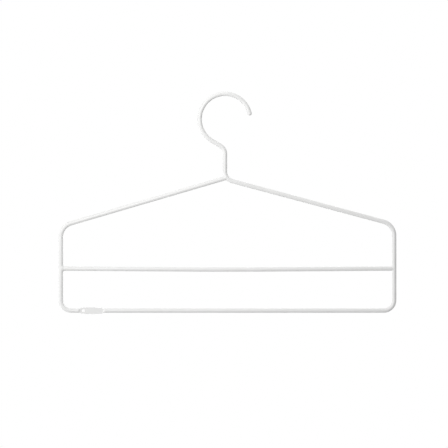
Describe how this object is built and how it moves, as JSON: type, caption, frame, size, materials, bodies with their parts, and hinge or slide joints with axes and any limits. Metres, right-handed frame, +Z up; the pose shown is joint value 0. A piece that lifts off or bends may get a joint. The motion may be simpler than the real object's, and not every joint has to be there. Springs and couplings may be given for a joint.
{
  "type": "trouser hanger",
  "caption": "Bent steel rod hanger with an open hook, a sloped frame, a welded trouser bar and a small pressed flat with a hole.",
  "frame": {"origin": "the point inside the hook's crown that bears on a rail", "axes": "+Z up, +X to the right along the trouser bar as seen from the front, the front faces -Y"},
  "size_m": [0.4, 0.0062, 0.2634],
  "materials": {
    "white_coat": "satin"
  },
  "bodies": {
    "root": {"frame_wire": "white_coat", "trouser_bar": "white_coat", "neck_weld": "white_coat", "left_bar_weld": "white_coat", "right_bar_weld": "white_coat"}
  },
  "joints": []
}
